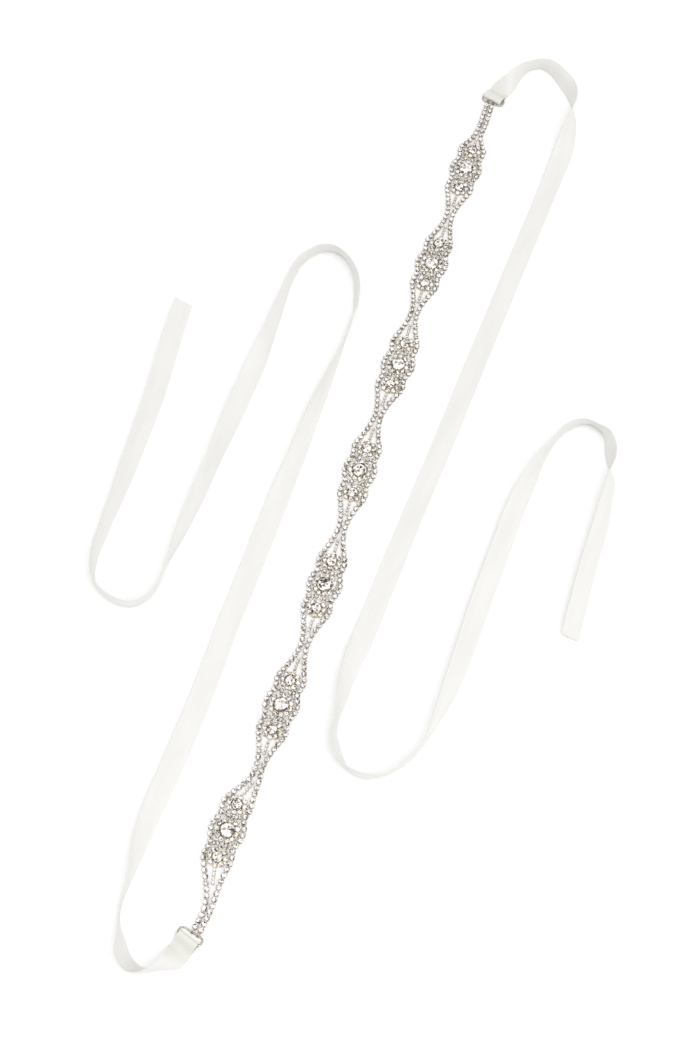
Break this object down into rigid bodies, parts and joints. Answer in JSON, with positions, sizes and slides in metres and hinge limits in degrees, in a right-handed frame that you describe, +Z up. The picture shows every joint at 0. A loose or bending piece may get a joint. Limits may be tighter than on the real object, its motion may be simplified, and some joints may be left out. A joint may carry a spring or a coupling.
{
  "type": "bridal sash",
  "caption": "Slim bridal sash laid flat: a jointed band of crystal medallions in silver settings, with a satin ribbon tail folded through a wire loop at each end.",
  "frame": {"origin": "centre of the whole sash's outline as laid, on the surface it lies on", "axes": "+Y along the crystal band, towards the end whose ribbon turns over to the right; +X to the right of the band seen from above; +Z up, out of the surface"},
  "size_m": [0.3014, 0.658, 0.0127],
  "materials": {
    "ribbon": "satin",
    "wire": "polished",
    "crystal": "faceted"
  },
  "bodies": {
    "root": {"ribbon_tail_upper": "ribbon", "ribbon_tail_lower": "ribbon", "loop_upper": "wire", "loop_lower": "wire", "strand_left": "crystal", "strand_right": "crystal", "medallion_1a": "crystal", "medallion_1b": "crystal", "medallion_1c": "crystal", "medallion_2a": "crystal", "medallion_2b": "crystal", "medallion_2c": "crystal", "medallion_3a": "crystal", "medallion_3b": "crystal", "medallion_3c": "crystal", "medallion_4a": "crystal", "medallion_4b": "crystal", "medallion_4c": "crystal", "medallion_5a": "crystal", "medallion_5b": "crystal", "medallion_5c": "crystal", "medallion_6a": "crystal", "medallion_6b": "crystal", "medallion_6c": "crystal", "medallion_7a": "crystal", "medallion_7b": "crystal", "medallion_7c": "crystal", "seed_strand_1a": "crystal", "seed_strand_1c": "crystal", "seed_strand_2a": "crystal", "seed_strand_2c": "crystal", "seed_strand_3a": "crystal", "seed_strand_3c": "crystal", "seed_strand_4a": "crystal", "seed_strand_4c": "crystal", "seed_strand_5a": "crystal", "seed_strand_5c": "crystal", "seed_strand_6a": "crystal", "seed_strand_6c": "crystal", "seed_strand_7a": "crystal", "seed_strand_7c": "crystal"}
  },
  "joints": []
}
